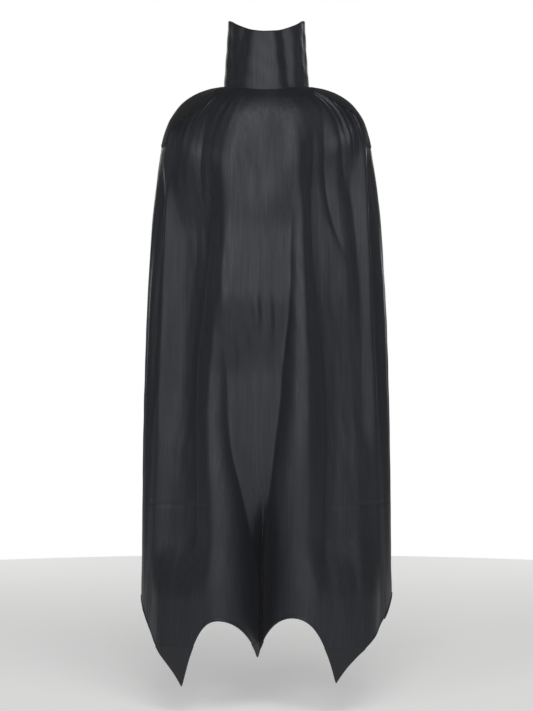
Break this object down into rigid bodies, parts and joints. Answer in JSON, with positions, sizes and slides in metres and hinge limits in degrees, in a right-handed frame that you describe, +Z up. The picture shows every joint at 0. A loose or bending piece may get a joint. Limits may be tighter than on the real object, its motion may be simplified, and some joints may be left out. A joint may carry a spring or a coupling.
{
  "type": "superhero cape",
  "caption": "Full-length satin superhero cape with a tall stand-up collar, knit shoulder yokes, open front and pointed scalloped hem.",
  "frame": {"origin": "middle of the neck opening, level with the neck seam at centre back", "axes": "+Z up, +Y the way the wearer faces, +X towards the wearer's right"},
  "size_m": [0.5657, 0.3665, 1.441],
  "materials": {
    "satin": "satin",
    "knit_yoke": "matte",
    "stiffener": "matte",
    "loop_tape": "matte",
    "hook_tape": "matte",
    "binding_tape": "matte",
    "facing_cloth": "matte",
    "label_cloth": "satin"
  },
  "bodies": {
    "cape": {"back_panel": "satin", "left_shoulder_yoke": "knit_yoke", "right_shoulder_yoke": "knit_yoke", "collar_outer": "satin", "collar_interlining": "stiffener", "collar_lining": "satin", "closure_loop_tape": "loop_tape", "neck_binding": "binding_tape", "left_tip_facing": "facing_cloth", "centre_tip_facing": "facing_cloth", "right_tip_facing": "facing_cloth", "hanger_loop": "binding_tape", "care_label": "label_cloth"},
    "left_front": {"left_front_panel": "satin", "left_front_tip_facing": "facing_cloth"},
    "right_front": {"right_front_panel": "satin", "right_front_tip_facing": "facing_cloth"},
    "collar_end": {"collar_end_outer": "satin", "collar_end_interlining": "stiffener", "collar_end_lining": "satin", "closure_hook_tape": "hook_tape"}
  },
  "joints": [
    {"name": "left_front_swing", "type": "hinge", "parent": "cape", "child": "left_front", "pos_m": [-0.2145, -0.056, -0.124], "axis": [0.0413, -0.0069, 0.9991], "range_deg": [0, 60]},
    {"name": "right_front_swing", "type": "hinge", "parent": "cape", "child": "right_front", "pos_m": [0.2145, -0.056, -0.124], "axis": [0.0413, 0.0069, -0.9991], "range_deg": [0, 60]},
    {"name": "collar_end_opening", "type": "hinge", "parent": "cape", "child": "collar_end", "pos_m": [0.0968, 0.0025, 0], "axis": [0.0648, 0, -0.9979], "range_deg": [0, 55]}
  ]
}
